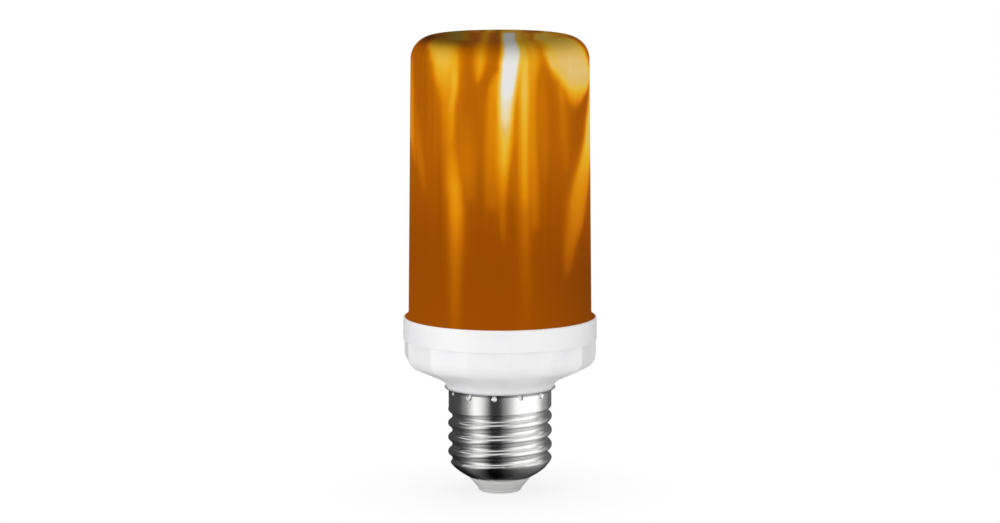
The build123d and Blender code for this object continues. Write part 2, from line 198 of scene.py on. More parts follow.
# %% Cover profile
collar_top = 44.9 * mm
cover_wall = 1.2 * mm
foot_radius, foot_height = 23.95 * mm, 1.5 * mm
low_radius, high_radius = 23.0 * mm, 22.35 * mm
shoulder = np.array([6.2, 5.85]) * mm
crown_height, cover_top = 0.25 * mm, 115.95 * mm
spigot_radius, spigot_wall, spigot_depth = 22.17 * mm, 1.0 * mm, 3.15 * mm
shoulder_centre = np.array([high_radius - shoulder[0], cover_top - crown_height - shoulder[1]])


def crown(rim, top, count):
    """Points of the crown, a shallow arc over the axis, from its rim to just before its top.

    The arc's radius is (rim squared plus rise squared) / (2 times the rise).
    """
    rise = top - rim[1]
    bend = (rim[0] ** 2 + rise**2) / (2 * rise)
    radius = rim[0] * (1 - np.arange(count) / count) ** 0.8
    return np.stack([radius, top - bend + np.sqrt(bend**2 - radius**2)], -1)


def cover_skin(inset, counts):
    """Profile from the low end of the wall, over the shoulder, to the top of the crown."""
    radii = shoulder - inset
    rim = shoulder_centre + [0, radii[1]]
    low = (low_radius - inset, collar_top + foot_height)
    return np.concatenate([
        line(low, shoulder_centre + [radii[0], 0], counts[0]),
        arc(shoulder_centre, radii, 0, 90, counts[1]),
        crown(rim, cover_top - inset, counts[2]),
    ])


foot_rows = 8
foot_turn = np.linspace(0, math.pi / 2, foot_rows, endpoint=False)
foot = np.stack([
    foot_radius - (foot_radius - low_radius) * np.sin(foot_turn),
    collar_top + foot_height * (1 - np.cos(foot_turn)),
], -1)
spigot_bottom = collar_top - spigot_depth
spigot = np.array([
    (low_radius - cover_wall, collar_top + foot_height),
    (spigot_radius - spigot_wall, collar_top + foot_height / 3),
    (spigot_radius - spigot_wall, spigot_bottom),
    (spigot_radius, spigot_bottom),
    (spigot_radius, collar_top),
])
inside = cover_skin(cover_wall, counts=(6, 8, 6))[::-1]
outside = cover_skin(0, counts=(88, 30, 36))
profile = np.concatenate([inside[:-1], spigot, foot, outside])
columns_round = 480
cover_angle = np.linspace(0, 2 * math.pi, columns_round, endpoint=False)
cover_radius = np.repeat(profile[:, :1], len(cover_angle), 1)
cover_mesh = round_mesh("cover", cover_radius, profile[:, 1], cover_angle, poles=True)

# %% [markdown]
# ## The flame
#
# Behind the frosted wall, rows of diodes draw flames that stream upwards: wide and nearly white
# at the top, thinner, deeper orange and then brown towards the foot. The frost smears the
# diodes into soft tongues. Each tongue is a list of stations from its top to its tip, which give
# its place round the tube, its half width and its heat at some heights. The side towards the
# camera comes first.

# %% Tongues of the flame
# Each station: (height in mm, degrees round from the front, half width in degrees, heat 0 to 1)
tongues = {
    "left edge": [
        (110, -82, 7, 0.47), (103, -80, 7, 0.54), (96, -79, 7, 0.58), (91, -77, 6.5, 0.57),
        (87.5, -73, 4, 0.46), (84, -68, 2, 0.36),
    ],
    "left leaning": [
        (97, -69, 5, 0.36), (90, -66, 5, 0.44), (84, -60, 4, 0.40), (77, -54, 2.5, 0.28),
    ],
    "left wedge": [
        (117, -52, 20, 0.66), (114.6, -47, 17, 0.73), (112.6, -40.5, 12.8, 0.78),
        (110.2, -37.6, 10.6, 0.78), (107.2, -37.2, 9.6, 0.72), (103.8, -35.4, 7.8, 0.64),
        (100.3, -34.9, 6.1, 0.57), (96.4, -34.6, 5.4, 0.54), (90, -35, 5, 0.45), (78, -34, 3, 0.34),
    ],
    "left wedge ridge": [
        (112, -30, 1.8, 0.72), (107.2, -29.6, 2.2, 0.77), (103.8, -30.0, 2.2, 0.74),
        (100.3, -32.0, 2.4, 0.68), (96.4, -32.4, 2.4, 0.60), (90, -32.6, 2.4, 0.56),
    ],
    "left streak": [
        (98, -32.5, 2.6, 0.50), (91, -32.2, 3.2, 0.50), (86.5, -31.2, 4.0, 0.57),
        (80.3, -29.6, 5.2, 0.65), (74.1, -28.7, 5.4, 0.62), (66.6, -28.6, 4.8, 0.49),
        (59, -28.8, 4.2, 0.37), (51.6, -29, 3.8, 0.32), (43, -29, 3.6, 0.26),
    ],
    "small": [
        (117, -13.2, 4.8, 0.60), (111, -12.6, 3.8, 0.68), (108.5, -13.2, 2.8, 0.66),
        (105, -14.8, 1.0, 0.46),
    ],
    "warm column": [
        (108, -2.0, 2.0, 0.58), (105, -3.4, 3.4, 0.63), (100, -4.6, 4.0, 0.59), (92, -5.0, 4.4, 0.54),
        (84, -5.4, 4.2, 0.48), (74, -5, 3.2, 0.34),
    ],
    "white streak": [
        (117, 8.2, 7.0, 0.97), (113.1, 8.0, 7.1, 0.98), (110.7, 6.6, 6.8, 1.0), (107.7, 5.7, 6.3, 1.0),
        (104.3, 4.7, 5.9, 0.99), (100.9, 3.9, 5.4, 0.95), (96.9, 3.6, 4.9, 0.93), (92, 3.3, 4.5, 0.84),
        (87, 2.6, 4.0, 0.77), (80.9, 1.8, 3.2, 0.60), (74.7, 1.2, 2.2, 0.41), (66, 2.0, 1.4, 0.25),
    ],
    "yellow streak": [
        (117, 17.2, 4.0, 0.76), (110, 16.0, 4.0, 0.83), (103, 15.6, 3.9, 0.85), (97, 15.4, 3.8, 0.79),
        (93, 15.3, 3.7, 0.75), (84, 15.2, 3.8, 0.67), (78, 15.6, 4.0, 0.59), (73, 15.8, 3.9, 0.43),
        (62, 16, 3.4, 0.28), (54, 16.4, 3.6, 0.24), (43, 16.6, 3.6, 0.20),
    ],
    "yellow skirt": [
        (117, 23, 6.0, 0.70), (112, 21.6, 5.2, 0.68), (106, 19.8, 4.0, 0.64), (100, 19.2, 4.0, 0.61),
        (88, 19.6, 4.4, 0.57), (78, 20.4, 4.6, 0.48), (69, 21, 3.6, 0.31),
    ],
    "between the streaks": [
        (110, 10, 4, 0.58), (104, 9.5, 3, 0.54), (94, 8.8, 3, 0.46), (84, 8.2, 2.5, 0.40),
        (76, 8, 2, 0.30),
    ],
    "cream patch": [
        (117, 53, 24, 0.78), (111, 54, 21.5, 0.86), (107.5, 61, 24, 0.87), (105, 64, 22, 0.85),
        (103, 62, 16, 0.78), (101, 58, 9, 0.64), (98.5, 56, 4, 0.48),
    ],
    "cream spot": [
        (113, 33.5, 3.0, 0.82), (110, 36.0, 3.0, 0.86), (107.5, 38.4, 2.0, 0.82),
    ],
    "gap glow": [
        (108, 26, 4, 0.44), (100, 26, 5, 0.46), (90, 27, 5, 0.42), (80, 28, 3, 0.30),
    ],
    "patch tail": [
        (104, 43, 4, 0.55), (99, 44, 3.0, 0.45), (92, 44.5, 3.0, 0.43), (83, 47, 2.5, 0.33),
    ],
    "right sickle": [
        (106, 88, 3, 0.62), (99.4, 84, 7.5, 0.74), (95.5, 83, 11, 0.83), (90.5, 80, 12, 0.84),
        (85.4, 74, 13.5, 0.75), (81, 66.5, 13.0, 0.65), (76, 60.5, 12.0, 0.57), (70, 56, 9.5, 0.49),
        (64.5, 50, 6.0, 0.38), (57, 46, 2.5, 0.24),
    ],
    "inner glow": [
        (98, -21.5, 4, 0.38), (89, -21, 5, 0.46), (84, -21, 5, 0.46), (76, -20.5, 4, 0.33),
    ],
}
print("tongues in front:", len(tongues))

# %% [markdown]
# The photograph doesn't show the back, but a part in a library is looked at from all sides, so it
# gets tongues in the same manner. Some places between the tongues are darker than the rest. They
# are lists of stations as well.

# %% Tongues at the back and darker places
tongues.update({
    "back right wedge": [
        (117, 108, 22, 0.76), (112, 111, 16, 0.80), (108, 113, 10, 0.78), (100, 109, 6, 0.66),
        (86, 107, 4.5, 0.58), (68, 105, 3.5, 0.32),
    ],
    "back right streak": [
        (117, 136, 4.4, 0.70), (112, 135.5, 5, 0.84), (104, 134, 4.4, 0.94), (94, 132, 3.6, 0.82),
        (82, 132, 3.2, 0.62), (66, 133, 2.2, 0.28),
    ],
    "back ribbon": [
        (112, 149, 3, 0.60), (98, 149, 4, 0.58), (84, 151, 4, 0.48), (70, 152, 3, 0.28),
    ],
    "back wedge": [
        (117, 170, 11, 0.74), (108, 168, 9, 0.76), (100, 164, 5, 0.62), (88, 163, 4.4, 0.60),
        (76, 161, 4.6, 0.60), (58, 160, 3.4, 0.28),
    ],
    "back streak": [
        (117, -170, 4.4, 0.72), (112, -171, 4.6, 0.84), (106, -172, 4.2, 0.93), (96, -173, 3.4, 0.82),
        (84, -173, 3.2, 0.64), (68, -172, 2.4, 0.30),
    ],
    "back skirt": [
        (114, -158, 5, 0.62), (100, -157, 4.4, 0.56), (86, -156, 4, 0.44), (72, -156, 3, 0.28),
    ],
    "back left patch": [
        (117, -134, 17, 0.80), (108, -132, 14, 0.82), (104, -130, 9, 0.70), (98, -128, 4.4, 0.52),
        (80, -127, 3.6, 0.42), (62, -126, 3, 0.25),
    ],
    "back left sickle": [
        (107, -102, 0.8, 0.44), (103, -105, 2.4, 0.56), (99, -108, 4.6, 0.68), (94, -111, 6, 0.76),
        (86, -116, 6.5, 0.62), (78, -119, 5, 0.48), (64, -121, 3.2, 0.25),
    ],
    "back left small": [
        (117, -102, 5, 0.64), (109, -102, 3.8, 0.66), (104, -101, 1.6, 0.44),
    ],
})
# Here the last number of a station is how much heat it takes away
shadows = {
    "left": [
        (117, -68, 12, 0.22), (100, -61, 8, 0.18), (92, -56, 5, 0.10),
    ],
    "right rim": [
        (117, 78, 18, 0.13), (108, 80, 14, 0.15), (104, 74, 14, 0.24), (98, 66, 12, 0.26),
        (92, 60, 8, 0.20), (86, 57, 6, 0.10),
    ],
    "right gap": [
        (108, 27.5, 3, 0.16), (100, 31, 4, 0.06), (88, 33, 5, 0.06),
    ],
}
print("tongues in all:", len(tongues), "darker places:", len(shadows))

# %% [markdown]
# Now the lists become heat. It starts from a base that rises with the height. A tongue lifts the
# heat to its own level, as far as its soft-edged shape reaches, and never lowers it, so the
# hottest tongue wins wherever two overlap. Faint fibres over everything keep the glow alive.

# %% Heat of the flame
base_heights = [44, 52, 60, 68, 78, 88, 100, 112]
base_heats = [0.20, 0.17, 0.16, 0.18, 0.24, 0.31, 0.345, 0.36]
low_right_loss = 0.13
shadow_fades, tongue_fades = (4.0, 6.0), (1.5, 4.0)
fibre_heat, fibre_heat_above = 0.003, 0.011
# Softness of an edge in degrees: a share of the half width up to a limit, and a lesser share more
edge_share, edge_limit, edge_extra = 0.26, 1.2, 0.055
crisp_heat, crisp_gain = 0.85, 0.4
past_tip, past_top = 1.5, 1.2


def smooth_step(t):
    """Rises from 0 to 1 with level ends: 3 t squared less 2 t cubed."""
    t = np.clip(t, 0, 1)
    return t * t * (3 - 2 * t)


def tongue_shape(turn, height, stations, top_fade, tip_fade):
    """Share of a tongue at a place: 1 inside its half width, a soft edge, and faded ends.

    The edge is 1 / (1 + e to the (distance past the half width / softness)). The softness grows
    with the half width, at first quickly. The hottest tongues have the crispest edges. The ends
    fade over the given lengths in mm and reach a little past the first and last station.
    """
    stations = np.array(stations[::-1])
    centre, half, heat = (np.interp(height, stations[:, 0], stations[:, k]) for k in (1, 2, 3))
    offset = np.abs((turn - centre + 180) % 360 - 180)
    softness = np.minimum(edge_share * half, edge_limit) + edge_extra * half
    softness = softness * (1 - crisp_gain * smooth_step((heat - crisp_heat) / 0.1))
    across = 1 / (1 + np.exp(np.clip((offset - half) / softness, -30, 30)))
    rise = smooth_step((height - stations[0, 0] + past_tip) / tip_fade)
    fall = smooth_step((stations[-1, 0] + past_top - height) / top_fade)
    return across * rise * fall, heat


def fibres(turn, height, seed=7, waves=26):
    """Faint upright streaks: a sum of sines round the tube, whose phase drifts with height."""
    chance = np.random.default_rng(seed)
    total = np.zeros(turn.shape)
    for count in chance.integers(9, 64, waves):
        phase, drift = chance.uniform(0, 2 * math.pi), chance.normal(0, 0.06)
        total += np.sin(np.radians(turn) * count + phase + drift * height)
    return total / math.sqrt(waves)


def flame_heat(turn, height):
    """Heat 0 to 1 by degrees round from the front and height in mm.

    The foot is darker on the right. The fibres grow stronger with the height and fade in
    the hottest places.
    """
    heat = np.interp(height, base_heights, base_heats)
    right_side = smooth_step((turn - 10) / 75) * smooth_step((180 - turn) / 70)
    heat = heat - low_right_loss * smooth_step((75 - height) / 20) * right_side
    for stations in shadows.values():
        shape, share = tongue_shape(turn, height, stations, *shadow_fades)
        heat = heat * (1 - shape * share)
    for stations in tongues.values():
        shape, level = tongue_shape(turn, height, stations, *tongue_fades)
        heat = heat + shape * np.maximum(level - heat, 0)
    high, hot = smooth_step((height - 55) / 35), smooth_step((heat - 0.7) / 0.1)
    strength = fibre_heat + fibre_heat_above * high * (1 - 0.7 * hot)
    return np.clip(heat + strength * fibres(turn, height), 0, 1)


# %% [markdown]
# On the crown the glow doesn't run to the middle like the slices of a cake. It lies straight
# back from the front rim and straight forward from the back rim, and the two blend between.
# The diodes light the shoulder and the crown less than the wall, and painted shade darkens the top
# and most of all the left of the crown, so a second value on the mesh records glow and painted shade.

# %% Heat, glow and painted shade on the mesh
crown_rim, crown_blend = 17.6 * mm, 2.6 * mm
glow_rim, glow_height, side_heat = 16.6 * mm, 113.0, 0.64
# Glow by height over the shoulder and crown: the diodes' fall-off and painted shade on the top
light_heights, light_levels = [110.8, 112.4, 114.0, 115.2, 115.7], [1.0, 0.88, 0.62, 0.42, 0.36]
# Painted shade on the left of the crown: where it starts, how softly it comes in, how much it darkens
left_from, left_blend, painted_shade_loss = 5.5 * mm, 5 * mm, 0.55


def glow_on_crown(x, y, rim):
    """Heat on the crown: that of the rim point with the same x, front and back mixed by y.

    The front glow reaches past the middle and gives way to the back one towards the back rim.
    Towards the left and right rim, where a straight line would run along the rim, it evens out.
    """
    side = np.degrees(np.arcsin(np.clip(x / rim, -1, 1)))
    front = flame_heat(side, np.full(x.shape, glow_height))
    back = flame_heat(180 - side, np.full(x.shape, glow_height))
    depth = np.sqrt(np.maximum(rim**2 - x**2, 1e-9))
    share = smooth_step((y / depth + 0.05) / 0.85)
    heat = front * (1 - share) + back * share
    to_side = smooth_step((np.abs(x) / rim - 0.6) / 0.4)
    return heat * (1 - to_side) + side_heat * to_side


turn = (np.degrees(cover_angle) + 270) % 360 - 180
turn, height = np.broadcast_arrays(turn[None, :], profile[:, 1:] / mm)
x, y = cover_radius * np.cos(cover_angle), cover_radius * np.sin(cover_angle)
on_crown = smooth_step((crown_rim - cover_radius) / crown_blend) * (height > 100)
heat = flame_heat(turn, height)
heat = heat + on_crown * (glow_on_crown(x, y, glow_rim) - heat)
# Glow over the shoulder and crown with painted shade, darkest at the left of the crown
glow_with_painted_shade = np.interp(height, light_heights, light_levels)
painted_shade_left_of_crown = smooth_step((-x - left_from) / left_blend) * smooth_step((height - 113.6) / 2.0)
glow_with_painted_shade = glow_with_painted_shade * (1 - painted_shade_loss * painted_shade_left_of_crown)
for name, values in (("fire_heat", heat), ("glow_with_painted_shade", glow_with_painted_shade)):
    poles = [values[0].mean(), values[-1].mean()]
    values = np.concatenate([values.ravel(), poles]).astype(np.float32)
    cover_mesh.attributes.new(name, "FLOAT", "POINT").data.foreach_set("value", values)
print("heat from", round(float(heat.min()), 2), "to", round(float(heat.max()), 2))

# %% [markdown]
# ## Frosted polycarbonate
#
# The cover is polycarbonate with a fine frost on it. The frost spreads the light, so the tube
# seems to glow by itself. Seen lit, it needs no glass shader: most of its colour is emission
# from the heat, and a weaker diffuse share of the same colour takes the studio light. The frost
# breaks up nearly all of the gloss, so a trace of it is left.

# %% Cover material
flame_colours = [
    (0.00, "#7A3E00"), (0.12, "#924600"), (0.20, "#9C4E00"), (0.30, "#AE5B02"), (0.45, "#C66F04"),
    (0.60, "#DE8B08"), (0.74, "#E9AC22"), (0.80, "#E8BC42"), (0.85, "#E3BB64"), (0.92, "#EAD394"),
    (0.97, "#E6E4E0"),
]
diffuse_share = 0.26
frosted, tree = new_tree("frosted polycarbonate, lit from inside")
heat_value = add_node(tree, "ShaderNodeAttribute", attribute_name="fire_heat").outputs["Fac"]
ramp = add_node(tree, "ShaderNodeValToRGB", {"Fac": heat_value})
set_ramp(ramp, flame_colours)
# The glow with painted shade on the shoulder and crown dims the flame colour, darkest at the left of the
# crown
glow_shade_value = add_node(tree, "ShaderNodeAttribute", attribute_name="glow_with_painted_shade").outputs["Fac"]
flame_colour = add_node(tree, "ShaderNodeHueSaturation", {
    "Color": ramp.outputs["Color"], "Value": glow_shade_value}).outputs["Color"]
diffuse_colour = add_node(tree, "ShaderNodeHueSaturation", {
    "Color": flame_colour, "Value": diffuse_share}).outputs["Color"]
place = add_node(tree, "ShaderNodeTexCoord").outputs["Object"]
frost_grain = 0.35 * mm
frost = add_node(tree, "ShaderNodeTexNoise", {"Vector": place, "Scale": 1 / frost_grain, "Detail": 3.0})
frost_bump = add_node(tree, "ShaderNodeBump", {
    "Height": frost.outputs["Fac"], "Strength": 0.15, "Distance": 0.02 * mm})
frost_shine = add_node(tree, "ShaderNodeMapRange", {
    "Value": frost.outputs["Fac"], "To Min": 0.36, "To Max": 0.46})
shader = add_node(tree, "ShaderNodeBsdfPrincipled", {
    "Base Color": diffuse_colour,
    "Emission Color": flame_colour,
    "Emission Strength": 1 - diffuse_share,
    "Roughness": frost_shine.outputs["Result"],
    "Normal": frost_bump.outputs["Normal"],
    "IOR": 1.58,
    "Specular IOR Level": 0.004,
})
add_node(tree, "ShaderNodeOutputMaterial", {"Surface": shader.outputs["BSDF"]})
add_piece("cover", cover_mesh, frosted, "cover_plastic", "diffuser_cover")

# %% [markdown]
# ## The faceted housing
#
# The bowl is moulded with fourteen flat facets that meet at upright edges. Seen from above a
# facet is a straight line, so at an angle away from its middle the radius is the distance of
# the facet divided by the cosine. At an edge two facets meet, and a soft minimum rounds the
# edge as a mould does. The round neck is joined to the bowl by a soft maximum in the same way.
# Columns are crowded together near the edges, where the shape needs them.

# %% Housing profile
facet_count = 14
facet_distance = 24.3 * mm * math.cos(math.pi / facet_count)
first_edge = math.radians(-84)
seam_height, housing_wall = 39.3 * mm, 1.6 * mm
wall_base, edge_round, slope = 35.7 * mm, 3.9 * mm, 25.0
shell_top, neck_radius, neck_lean = 26.85 * mm, 13.5 * mm, math.radians(18)
plug_bottom, plug_bore = 14.0 * mm, 10.2 * mm
plug_radius, plug_tip_radius = 12.79 * mm, 11.67 * mm
plug_step, plug_taper = 21.78 * mm, 1.12 * mm


def bowl(inset, counts):
    """Bowl profile from low on its slope, round the edge, up to the seam."""
    bend = edge_round - inset
    centre = (facet_distance - edge_round, wall_base)
    low_turn = slope - 90
    turn = math.radians(low_turn)
    low = centre + bend * np.array([math.cos(turn), math.sin(turn)])
    bottom = shell_top - inset
    start = (low[0] - (low[1] - bottom) / math.tan(math.radians(slope)), bottom)
    return np.concatenate([
        line(start, low, counts[0]),
        arc(centre, (bend, bend), low_turn, 0, counts[1]),
        line((centre[0] + bend, wall_base), (centre[0] + bend, seam_height), counts[2]),
        [(centre[0] + bend, seam_height)],
    ])


outer_bowl = bowl(0, counts=(60, 18, 3))
inner_bowl = bowl(housing_wall, counts=(10, 10, 1))
inner_bowl = inner_bowl[inner_bowl[:, 0] > plug_bore][::-1]
plug_rows = [
    (plug_bore, plug_bottom), (plug_tip_radius, plug_bottom), (plug_tip_radius, plug_step - plug_taper),
    (plug_radius, plug_step), (plug_radius, shell_top),
]
bore_top = inner_bowl[-1, 1] - (inner_bowl[-1, 0] - plug_bore) * math.tan(math.radians(slope))
inner_rows = np.concatenate([inner_bowl, [(plug_bore, bore_top)]])
print("housing rows:", len(plug_rows), "of the plug,", len(outer_bowl), "outside,", len(inner_rows), "inside")

# %% [markdown]
# The rows of the bowl are worked out twice, as a round neck and as flat facets, and the larger
# of the two is the skin. The plug below and the hollow inside are plain round rows.

# %% Housing mesh
def soft_min(a, b, width):
    """The smaller value, rounded where the two are within width of each other.

    There it lies lower by (width less the difference) squared / (4 times the width).
    """
    near = np.maximum(width - np.abs(a - b), 0) / width
    return np.minimum(a, b) - near**2 * width / 4


soft_edge, soft_neck = 0.23 * mm, 2.0 * mm
facet_columns = 28
facet_step = 2 * math.pi / facet_count
crowded = np.sin(np.linspace(-math.pi / 2, math.pi / 2, facet_columns + 1)[:-1])
within = facet_step / 2 * crowded
middles = first_edge + facet_step * (np.arange(facet_count) + 0.5)
housing_angle = (middles[:, None] + within).ravel()
from_middle = np.tile(within, facet_count)
away = np.cos(from_middle), np.cos(facet_step - np.abs(from_middle))
flat = soft_min(outer_bowl[:, :1] / away[0], outer_bowl[:, :1] / away[1], soft_edge)
neck = neck_radius + (outer_bowl[:, 1:] - shell_top) * math.tan(neck_lean)
skin = -soft_min(-flat, -neck, soft_neck)
plug = np.array(plug_rows)
once_round = np.ones(len(housing_angle))
housing_radius = np.concatenate([plug[:, :1] * once_round, skin, inner_rows[:, :1] * once_round])
housing_height = np.concatenate([plug[:, 1], outer_bowl[:, 1], inner_rows[:, 1]])
housing_mesh = round_mesh("housing", housing_radius, housing_height, housing_angle, poles=False)

# %% [markdown]
# Inside the plug four upright ribs hold the edges of the driver board. They are moulded with
# the housing, so they are part of its mesh: boxes that reach a little way into the wall.

# %% Board ribs
rib_size = (2.13 * mm, 1.0 * mm, 12.0 * mm)
rib_middle = (9.67 * mm, 1.15 * mm, plug_bottom + rib_size[2] / 2)

shape = bmesh.new()
shape.from_mesh(housing_mesh)
for side_x, side_y in ((1, 1), (1, -1), (-1, 1), (-1, -1)):
    place = (rib_middle[0] * side_x, rib_middle[1] * side_y, rib_middle[2])
    matrix = Matrix.Translation(place) @ Matrix.Diagonal((*rib_size, 1))
    bmesh.ops.create_cube(shape, size=1, matrix=matrix)
shape.to_mesh(housing_mesh)
shape.free()
print("housing faces with ribs:", len(housing_mesh.polygons))

# %% [markdown]
# ## White moulded plastic
#
# Housing and collar are white polycarbonate from a polished mould. It is nearly white but not
# quite, so that the facets still show as steps of light grey, and its gloss is soft.

# %% White plastic material
white, tree = new_tree("moulded polycarbonate, white with a soft gloss")
place = add_node(tree, "ShaderNodeTexCoord").outputs["Object"]
flow = add_node(tree, "ShaderNodeTexNoise", {"Vector": place, "Scale": 1 / (6 * mm), "Detail": 2.0})
flow_colour = add_node(tree, "ShaderNodeValToRGB", {"Fac": flow.outputs["Fac"]})
set_ramp(flow_colour, [(0.3, "#EEEEF0"), (0.7, "#F2F2F3")])
skin_grain = add_node(tree, "ShaderNodeTexNoise", {"Vector": place, "Scale": 1 / (0.5 * mm), "Detail": 2.0})
skin_bump = add_node(tree, "ShaderNodeBump", {
    "Height": skin_grain.outputs["Fac"], "Strength": 0.08, "Distance": 0.01 * mm})
skin_shine = add_node(tree, "ShaderNodeMapRange", {
    "Value": flow.outputs["Fac"], "To Min": 0.34, "To Max": 0.42})
shader = add_node(tree, "ShaderNodeBsdfPrincipled", {
    "Base Color": flow_colour.outputs["Color"],
    "Roughness": skin_shine.outputs["Result"],
    "Normal": skin_bump.outputs["Normal"],
    "IOR": 1.58,
    "Specular IOR Level": 0.4,
})
add_node(tree, "ShaderNodeOutputMaterial", {"Surface": shader.outputs["BSDF"]})
add_piece("housing", housing_mesh, white, "white_plastic", "housing_body")

# %% [markdown]
# ## The rolled shell
#
# The screw shell is thin sheet, rolled into a knuckle thread. Across one turn the skin is a
# round crest between two hollow roots, all arcs of the same radius that meet halfway down.
# The crest climbs one pitch per turn, so the distance to the nearest crest is found from the
# height less the turned share of the pitch. Below, the thread runs out on a slightly rounded
# cone. Above, it fades into a plain band with a small flare and a row of round dimples, where
# the shell is crimped to the housing.

# %% Shell sizes
pitch, crest_radius, thread_depth = 3.629 * mm, 13.12 * mm, 1.07 * mm
lowest_crest = 8.563 * mm
shell_wall = 0.3 * mm
mouth_radius, mouth_height = 7.7 * mm, 3.9 * mm
cone_slope, cone_bulge, cone_reach, soft_cone = math.radians(40), 0.8 * mm, 4.4 * mm, 0.5 * mm
band_radius, band_bore, band_bottom = 12.98 * mm, 12.8 * mm, 21.7 * mm
thread_end, thread_fade = band_bottom - 0.9 * mm, 1.5 * mm
flare_radius, flare_height = 13.95 * mm, 0.8 * mm
dimple_count, dimple_first = 12, math.radians(-96.7)
dimple_radius, dimple_depth = 0.80 * mm, 0.40 * mm
dimple_height = shell_top - 1.05 * mm


def thread_radius(angle, height):
    """Radius of the thread: two tangent arcs by the distance along the axis from a crest."""
    half = pitch / 2
    bend = (thread_depth**2 + half**2) / (4 * thread_depth)
    share = (height - lowest_crest) / pitch - angle / (2 * math.pi)
    away = np.abs(share - np.round(share)) * pitch
    crest = crest_radius - bend + np.sqrt(np.maximum(bend**2 - away**2, 0))
    root = crest_radius - thread_depth + bend - np.sqrt(np.maximum(bend**2 - (half - away) ** 2, 0))
    return np.where(away < half / 2, crest, root)


def shell_radius(angle, height):
    """Outer skin of the shell: thread, cone, band and flare, joined by soft limits.

    The cone bulges by four times the bulge times the share of its reach times the rest of it.
    """
    thread = thread_radius(angle, height)
    into_band = smooth_step((height - thread_end) / thread_fade)
    skin = thread * (1 - into_band) + band_radius * into_band
    above = height - mouth_height
    share = np.clip(above / cone_reach, 0, 1)
    cone = mouth_radius + above / math.tan(cone_slope) + cone_bulge * 4 * share * (1 - share)
    skin = soft_min(skin, cone, soft_cone)
    flare = smooth_step((height - shell_top + flare_height) / flare_height)
    return skin + (flare_radius - band_radius) * flare**1.5


def dimples(angle, height):
    """Depth of the crimp dimples: a round hollow at even steps round the band."""
    step = 2 * math.pi / dimple_count
    turned = (angle - dimple_first + step / 2) % step - step / 2
    away = np.hypot(turned * band_radius, height - dimple_height) / dimple_radius
    return dimple_depth * (1 - smooth_step(away))


# %% [markdown]
# The shell is one closed skin, whose rows go up the outside and down the inside. The inner rows
# lie one wall further in. The wall is measured square to the sheet, so where the sheet slopes it
# takes more of the radius: the wall times the square root of (1 plus the slope squared).

# %% Shell mesh
thread_rows, band_rows, inner_row_count = 101, 36, 54
shell_angle = np.linspace(0, 2 * math.pi, columns_round, endpoint=False)[None, :]
outer_height = np.concatenate([
    np.linspace(mouth_height, band_bottom, thread_rows + 1)[:-1],
    np.linspace(band_bottom, shell_top, band_rows),
])
outer_shell = shell_radius(shell_angle, outer_height[:, None])
outer_shell = outer_shell - dimples(shell_angle, outer_height[:, None])
inner_height = np.linspace(shell_top, mouth_height, inner_row_count)
inner_shell = shell_radius(shell_angle, inner_height[:, None])
tilt = np.gradient(inner_shell, inner_height, axis=0)
wall_here = np.where(inner_height[:, None] > band_bottom, band_radius - band_bore, shell_wall)
inner_shell = inner_shell - wall_here * np.sqrt(1 + np.clip(tilt, -1, 1) ** 2)
inner_shell = inner_shell - dimples(shell_angle, inner_height[:, None])
shell_mesh = round_mesh(
    "shell",
    np.concatenate([outer_shell, inner_shell]),
    np.concatenate([outer_height, inner_height]),
    shell_angle,
    poles=False,
)

# %% [markdown]
# ## Nickel plate
#
# Bright nickel on rolled brass sheet is a neutral grey mirror. Rolling leaves fine lines round
# the shell, which smear its highlights a little.

# %% Nickel material
nickel, tree = new_tree("nickel plate, rolled bright")
place = add_node(tree, "ShaderNodeTexCoord").outputs["Object"]
line_spacing, line_length = 0.12 * mm, 8 * mm
stretch = add_node(tree, "ShaderNodeMapping", {
    "Vector": place, "Scale": (1 / line_length, 1 / line_length, 1 / line_spacing)})
lines = add_node(tree, "ShaderNodeTexNoise", {
    "Vector": stretch.outputs["Vector"], "Scale": 1.0, "Detail": 2.0})
cloud = add_node(tree, "ShaderNodeTexNoise", {"Vector": place, "Scale": 1 / (3 * mm), "Detail": 4.0})
tint = add_node(tree, "ShaderNodeValToRGB", {"Fac": cloud.outputs["Fac"]})
set_ramp(tint, [(0.3, "#D6D6D5"), (0.7, "#E0E0DF")])
line_bump = add_node(tree, "ShaderNodeBump", {
    "Height": lines.outputs["Fac"], "Strength": 0.12, "Distance": 0.01 * mm})
line_shine = add_node(tree, "ShaderNodeMapRange", {
    "Value": cloud.outputs["Fac"], "To Min": 0.15, "To Max": 0.22})
shader = add_node(tree, "ShaderNodeBsdfPrincipled", {
    "Base Color": tint.outputs["Color"],
    "Metallic": 1.0,
    "Roughness": line_shine.outputs["Result"],
    "Normal": line_bump.outputs["Normal"],
})
add_node(tree, "ShaderNodeOutputMaterial", {"Surface": shader.outputs["BSDF"]})
add_piece("shell", shell_mesh, nickel, "nickel_plate", "screw_shell")

# %% [markdown]
# ## Finishes of the other parts
#
# The collar, the insulator and everything inside keep their CAD shapes. They are plastics,
# boards, metals and lacquers whose surfaces differ in colour, gloss and grain, so one recipe
# serves them: a grain of a given size moves the colour between two close tones and roughens
# the gloss.

